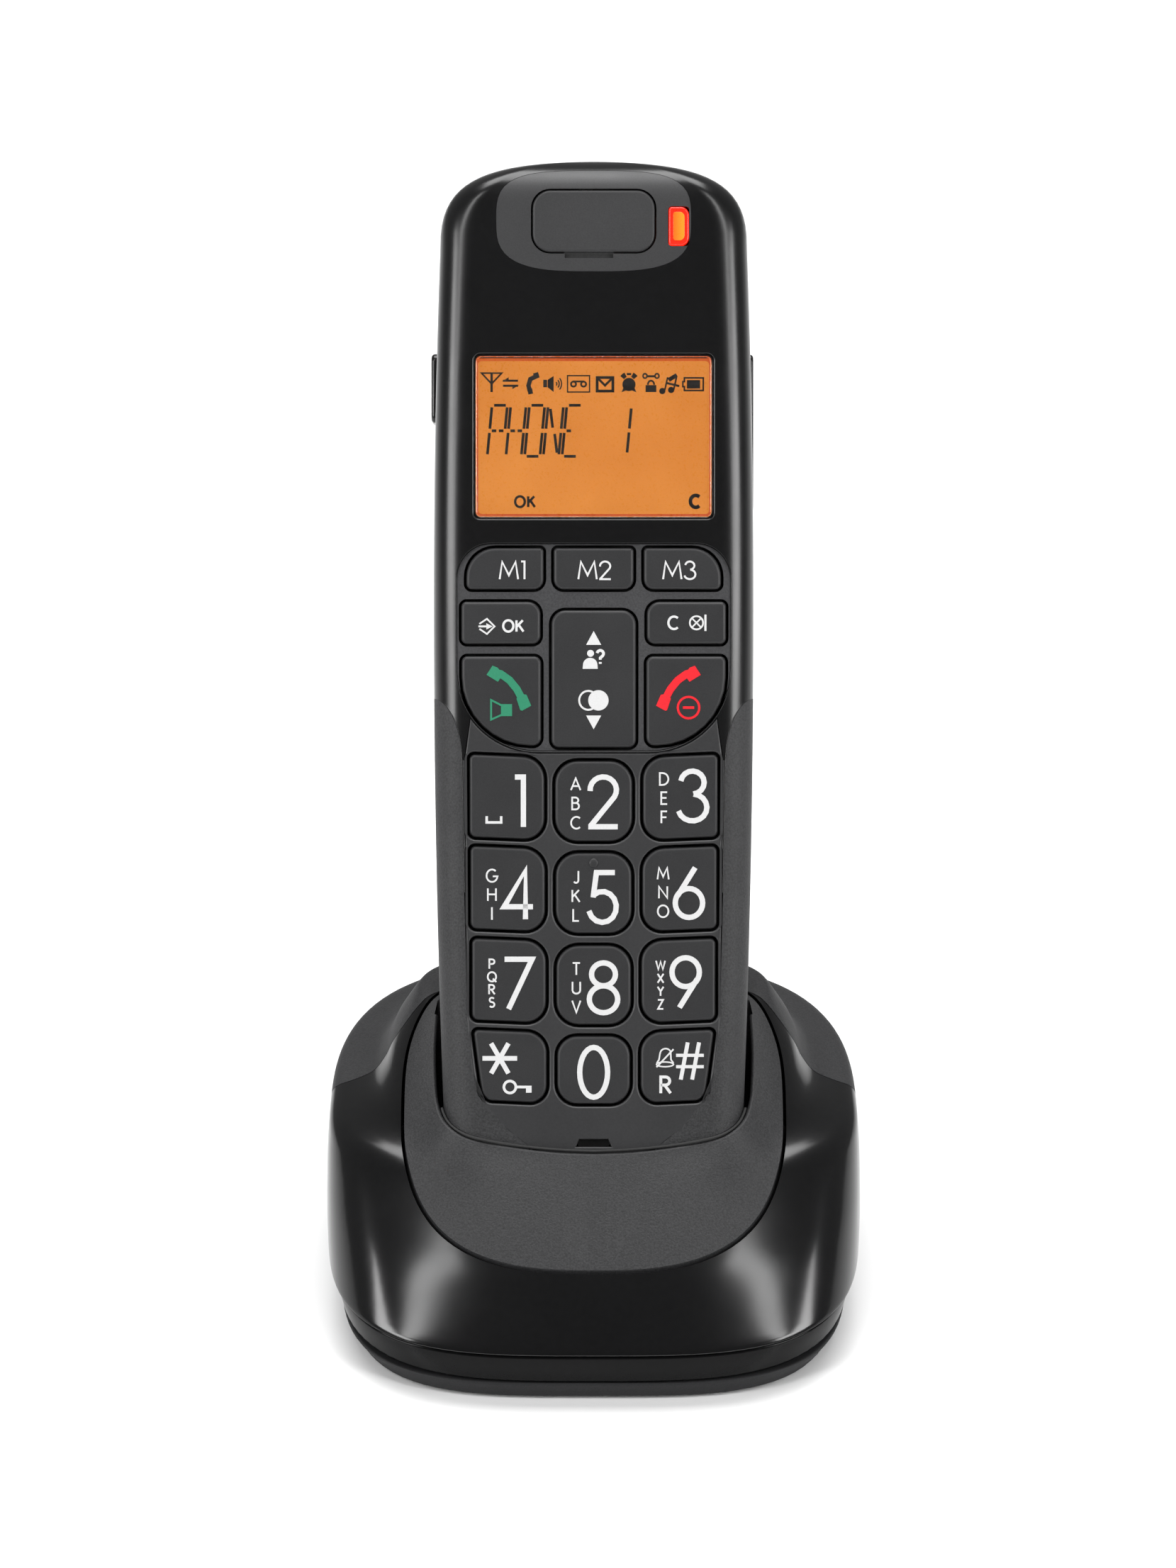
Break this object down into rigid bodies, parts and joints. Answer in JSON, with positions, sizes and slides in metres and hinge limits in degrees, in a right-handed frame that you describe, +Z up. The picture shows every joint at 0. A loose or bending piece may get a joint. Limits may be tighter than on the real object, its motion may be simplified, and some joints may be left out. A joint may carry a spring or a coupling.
{
  "type": "cordless phone with base",
  "caption": "Big-button cordless telephone handset with backlit display, standing tilted in a low charging base with a ridge behind it.",
  "frame": {"origin": "centre of the whole telephone's footprint box, on the surface that its feet stand on", "axes": "+Z up; the keys and display face -Y; +X is the user's right; the handset leans back towards +Y"},
  "size_m": [0.0864, 0.121, 0.168],
  "materials": {
    "handset_gloss": "high gloss black moulding, satin dark grey round the number keys",
    "base_gloss": "high gloss black moulding",
    "base_matte": "fine spark-eroded matte dark grey",
    "grip_plastic": "fine textured matte dark grey",
    "web_plastic": "satin dark grey",
    "earpiece_plastic": "soft matte dark grey",
    "key_plastic": "matte black with light grey printed legends",
    "rubber": "matte black elastomer",
    "lamp_lens": "clear lens lit red to orange",
    "window": "clear glossy acrylic",
    "display": "orange backlit liquid crystal",
    "circuit_board": "green solder mask",
    "plated_metal": "satin nickel plate",
    "battery_sleeve": "printed film sleeve",
    "socket_plastic": "plain black moulding"
  },
  "bodies": {
    "base": {"base_cover": "base_gloss", "rear_housing": "base_matte", "cradle_insert": "base_matte", "base_skirt": "base_gloss", "bottom_plate": "base_matte", "foot_front_left": "rubber", "foot_front_right": "rubber", "foot_rear_left": "rubber", "foot_rear_right": "rubber", "base_pcb": "circuit_board", "phone_socket": "socket_plastic", "power_socket": "socket_plastic"},
    "handset": {"front_shell": "handset_gloss", "rear_shell": "handset_gloss", "side_grip_left": "grip_plastic", "side_grip_right": "grip_plastic", "key_bezel": "web_plastic", "earpiece_surround": "earpiece_plastic", "earpiece_plate": "earpiece_plastic", "call_indicator": "lamp_lens", "display_window": "window", "lcd_module": "display", "handset_pcb": "circuit_board", "key_mat": "rubber", "receiver_capsule": "plated_metal", "ringer_speaker": "plated_metal", "microphone": "plated_metal", "battery_a": "battery_sleeve", "battery_b": "battery_sleeve", "battery_springs": "plated_metal", "battery_plate": "plated_metal", "handset_contact_left": "plated_metal", "handset_contact_right": "plated_metal"},
    "key_m1": {"key_m1": "key_plastic"},
    "key_m2": {"key_m2": "key_plastic"},
    "key_m3": {"key_m3": "key_plastic"},
    "key_ok": {"key_ok": "key_plastic"},
    "key_c": {"key_c": "key_plastic"},
    "key_talk": {"key_talk": "key_plastic"},
    "key_end": {"key_end": "key_plastic"},
    "key_1": {"key_1": "key_plastic"},
    "key_2": {"key_2": "key_plastic"},
    "key_3": {"key_3": "key_plastic"},
    "key_4": {"key_4": "key_plastic"},
    "key_5": {"key_5": "key_plastic"},
    "key_6": {"key_6": "key_plastic"},
    "key_7": {"key_7": "key_plastic"},
    "key_8": {"key_8": "key_plastic"},
    "key_9": {"key_9": "key_plastic"},
    "key_star": {"key_star": "key_plastic"},
    "key_0": {"key_0": "key_plastic"},
    "key_hash": {"key_hash": "key_plastic"},
    "nav_rocker": {"nav_rocker": "key_plastic"},
    "boost_button": {"boost_button": "handset_gloss"},
    "volume_rocker": {"volume_rocker": "handset_gloss"},
    "headset_socket_cover": {"headset_socket_cover": "rubber"},
    "battery_door": {"battery_door": "handset_gloss"},
    "charge_pin_left": {"charge_pin_left": "plated_metal"},
    "charge_pin_right": {"charge_pin_right": "plated_metal"},
    "page_button": {"page_button": "base_matte"}
  },
  "joints": [
    {"name": "handset_lift", "type": "slide", "parent": "base", "child": "handset", "axis": [0, 0.4617, 0.887], "range_m": [0, 0.06]},
    {"name": "key_m1_press", "type": "slide", "parent": "handset", "child": "key_m1", "axis": [0, 0.887, -0.4617], "range_m": [0, 0.0008], "stiffness_N_per_m": 600},
    {"name": "key_m2_press", "type": "slide", "parent": "handset", "child": "key_m2", "axis": [0, 0.887, -0.4617], "range_m": [0, 0.0008], "stiffness_N_per_m": 600},
    {"name": "key_m3_press", "type": "slide", "parent": "handset", "child": "key_m3", "axis": [0, 0.887, -0.4617], "range_m": [0, 0.0008], "stiffness_N_per_m": 600},
    {"name": "key_ok_press", "type": "slide", "parent": "handset", "child": "key_ok", "axis": [0, 0.887, -0.4617], "range_m": [0, 0.0008], "stiffness_N_per_m": 600},
    {"name": "key_c_press", "type": "slide", "parent": "handset", "child": "key_c", "axis": [0, 0.887, -0.4617], "range_m": [0, 0.0008], "stiffness_N_per_m": 600},
    {"name": "key_talk_press", "type": "slide", "parent": "handset", "child": "key_talk", "axis": [0, 0.887, -0.4617], "range_m": [0, 0.0008], "stiffness_N_per_m": 600},
    {"name": "key_end_press", "type": "slide", "parent": "handset", "child": "key_end", "axis": [0, 0.887, -0.4617], "range_m": [0, 0.0008], "stiffness_N_per_m": 600},
    {"name": "key_1_press", "type": "slide", "parent": "handset", "child": "key_1", "axis": [0, 0.887, -0.4617], "range_m": [0, 0.0008], "stiffness_N_per_m": 600},
    {"name": "key_2_press", "type": "slide", "parent": "handset", "child": "key_2", "axis": [0, 0.887, -0.4617], "range_m": [0, 0.0008], "stiffness_N_per_m": 600},
    {"name": "key_3_press", "type": "slide", "parent": "handset", "child": "key_3", "axis": [0, 0.887, -0.4617], "range_m": [0, 0.0008], "stiffness_N_per_m": 600},
    {"name": "key_4_press", "type": "slide", "parent": "handset", "child": "key_4", "axis": [0, 0.887, -0.4617], "range_m": [0, 0.0008], "stiffness_N_per_m": 600},
    {"name": "key_5_press", "type": "slide", "parent": "handset", "child": "key_5", "axis": [0, 0.887, -0.4617], "range_m": [0, 0.0008], "stiffness_N_per_m": 600},
    {"name": "key_6_press", "type": "slide", "parent": "handset", "child": "key_6", "axis": [0, 0.887, -0.4617], "range_m": [0, 0.0008], "stiffness_N_per_m": 600},
    {"name": "key_7_press", "type": "slide", "parent": "handset", "child": "key_7", "axis": [0, 0.887, -0.4617], "range_m": [0, 0.0008], "stiffness_N_per_m": 600},
    {"name": "key_8_press", "type": "slide", "parent": "handset", "child": "key_8", "axis": [0, 0.887, -0.4617], "range_m": [0, 0.0008], "stiffness_N_per_m": 600},
    {"name": "key_9_press", "type": "slide", "parent": "handset", "child": "key_9", "axis": [0, 0.887, -0.4617], "range_m": [0, 0.0008], "stiffness_N_per_m": 600},
    {"name": "key_star_press", "type": "slide", "parent": "handset", "child": "key_star", "axis": [0, 0.887, -0.4617], "range_m": [0, 0.0008], "stiffness_N_per_m": 600},
    {"name": "key_0_press", "type": "slide", "parent": "handset", "child": "key_0", "axis": [0, 0.887, -0.4617], "range_m": [0, 0.0008], "stiffness_N_per_m": 600},
    {"name": "key_hash_press", "type": "slide", "parent": "handset", "child": "key_hash", "axis": [0, 0.887, -0.4617], "range_m": [0, 0.0008], "stiffness_N_per_m": 600},
    {"name": "nav_rock", "type": "hinge", "parent": "handset", "child": "nav_rocker", "pos_m": [0, 0.00235, 0.09587], "axis": [1, 0, 0], "range_deg": [-3, 3], "stiffness_Nm_per_rad": 0.08},
    {"name": "boost_press", "type": "slide", "parent": "handset", "child": "boost_button", "axis": [1, 0, 0], "range_m": [0, 0.0008], "stiffness_N_per_m": 600},
    {"name": "volume_rock", "type": "hinge", "parent": "handset", "child": "volume_rocker", "pos_m": [0.0243, 0.03061, 0.12569], "axis": [0, 0.887, -0.4617], "range_deg": [-2, 2], "stiffness_Nm_per_rad": 0.08},
    {"name": "socket_cover_swing", "type": "hinge", "parent": "handset", "child": "headset_socket_cover", "pos_m": [0.02495, 0.03966, 0.14307], "axis": [0, -0.887, 0.4617], "range_deg": [0, 80]},
    {"name": "battery_door_pull", "type": "slide", "parent": "handset", "child": "battery_door", "axis": [0, 0.887, -0.4617], "range_m": [0, 0.012]},
    {"name": "charge_pin_left_press", "type": "slide", "parent": "base", "child": "charge_pin_left", "axis": [0, 0.4617, 0.887], "range_m": [-0.001, 0], "stiffness_N_per_m": 300},
    {"name": "charge_pin_right_press", "type": "slide", "parent": "base", "child": "charge_pin_right", "axis": [0, 0.4617, 0.887], "range_m": [-0.001, 0], "stiffness_N_per_m": 300},
    {"name": "page_press", "type": "slide", "parent": "base", "child": "page_button", "axis": [0, 0, -1], "range_m": [0, 0.001], "stiffness_N_per_m": 600}
  ]
}
